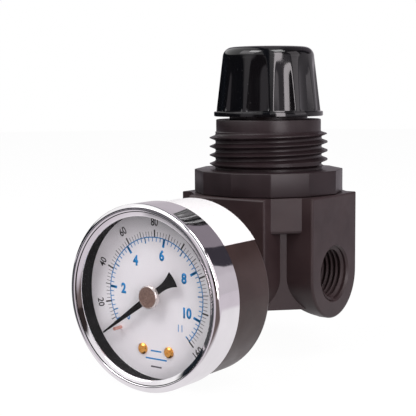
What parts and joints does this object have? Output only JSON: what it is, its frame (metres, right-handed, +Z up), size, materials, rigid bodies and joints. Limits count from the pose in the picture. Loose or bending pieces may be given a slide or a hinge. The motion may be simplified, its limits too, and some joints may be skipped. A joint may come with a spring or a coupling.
{
  "type": "miniature air pressure regulator",
  "caption": "Miniature air pressure regulator with a push-lock knob, a threaded panel neck, a cast body with ports at right angles and a dial gauge in front.",
  "frame": {"origin": "centre of the panel seat, the top face of the twelve-sided flange", "axes": "+Z up along the regulator towards the knob, -Y out of the gauge's dial, +X out of the outlet port"},
  "size_m": [0.042, 0.0716, 0.0771],
  "materials": {
    "body_coat": "satin black coat on die-cast zinc",
    "bonnet_plastic": "satin black moulded plastic",
    "knob_plastic": "polished black",
    "inner_plastic": "natural moulded plastic",
    "rubber_black": "moulded",
    "spring_steel": "drawn wire",
    "plain_steel": "zinc plated",
    "brass_turned": "turned",
    "case_black": "semi-gloss black",
    "chrome_ring": "polished",
    "window_clear": "clear",
    "dial_white": "printed white",
    "screw_brass": "yellow passivated",
    "pointer_black": "matt black",
    "hub_nickel": "dull nickel",
    "pin_copper": "coppered"
  },
  "bodies": {
    "housing": {"body": "body_coat", "pickup_tube": "brass_turned", "rear_port_plug": "plain_steel", "bonnet": "bonnet_plastic", "detent_ring": "rubber_black", "slip_ring": "inner_plastic", "diaphragm": "rubber_black", "control_spring": "spring_steel", "thrust_washer": "inner_plastic", "stem_guide": "inner_plastic", "valve_spring": "spring_steel", "valve_cap": "brass_turned", "valve_cap_oring": "rubber_black", "gauge_socket": "brass_turned", "gauge_case": "case_black", "gauge_bezel": "chrome_ring", "gauge_window": "window_clear", "window_gasket": "rubber_black", "dial": "dial_white", "dial_screws": "screw_brass", "stop_pin": "pin_copper", "bourdon_tube": "brass_turned", "hairspring": "spring_steel", "movement_back_plate": "brass_turned", "movement_front_plate": "brass_turned", "movement_pillars": "brass_turned", "movement_screws": "plain_steel"},
    "screw": {"adjusting_screw": "plain_steel"},
    "knob": {"knob": "knob_plastic"},
    "button": {"spring_button": "brass_turned"},
    "plate": {"diaphragm_plate": "plain_steel", "relief_seat": "brass_turned"},
    "valve": {"valve_poppet": "brass_turned", "valve_rubber": "rubber_black"},
    "sector": {"sector_gear": "brass_turned"},
    "link": {"link": "brass_turned"},
    "tip": {"bourdon_tip": "brass_turned"},
    "needle": {"pinion_shaft": "brass_turned", "pointer": "pointer_black", "pointer_hub": "hub_nickel"}
  },
  "joints": [
    {"name": "knob_turn", "type": "hinge", "parent": "housing", "child": "screw", "pos_m": [0, 0, 0], "axis": [0, 0, 1], "range_deg": [-1443, 3]},
    {"name": "knob_pull", "type": "slide", "parent": "screw", "child": "knob", "axis": [0, 0, 1], "range_m": [0, 0.0025]},
    {"name": "button_travel", "type": "slide", "parent": "housing", "child": "button", "axis": [0, 0, 1], "range_m": [-0.005, 0], "deforming": ["control_spring"]},
    {"name": "diaphragm_stroke", "type": "slide", "parent": "housing", "child": "plate", "axis": [0, 0, 1], "range_m": [-0.001, 0], "stiffness_N_per_m": 200, "deforming": ["diaphragm"]},
    {"name": "valve_lift", "type": "slide", "parent": "housing", "child": "valve", "axis": [0, 0, 1], "range_m": [-0.00101, 0.00001], "deforming": ["valve_spring"]},
    {"name": "sector_swing", "type": "hinge", "parent": "housing", "child": "sector", "pos_m": [0, -0.0436, -0.0364], "axis": [0, -1, 0], "range_deg": [0, 26], "stiffness_Nm_per_rad": 0.002, "deforming": ["hairspring"]},
    {"name": "pointer_turn", "type": "hinge", "parent": "housing", "child": "needle", "pos_m": [0, -0.048, -0.0254], "axis": [0, 1, 0], "range_deg": [-0.5, 260.5]},
    {"name": "tip_swing", "type": "hinge", "parent": "housing", "child": "tip", "pos_m": [0.00183, -0.0375, -0.02302], "axis": [0, -1, 0], "range_deg": [-0.1, 9.98], "deforming": ["bourdon_tube"]},
    {"name": "link_turn", "type": "hinge", "parent": "sector", "child": "link", "pos_m": [0.00321, -0.0426, -0.04023], "axis": [0, -1, 0], "range_deg": [-26.56, 0.1]}
  ],
  "couplings": [
    {"joint": "knob_turn", "follows": "button_travel", "rad_per_m": 5026.5},
    {"joint": "valve_lift", "follows": "diaphragm_stroke", "ratio": 1},
    {"joint": "pointer_turn", "follows": "sector_swing", "ratio": 10},
    {"joint": "tip_swing", "follows": "sector_swing", "ratio": 0.38},
    {"joint": "link_turn", "follows": "sector_swing", "ratio": -1.0178}
  ]
}
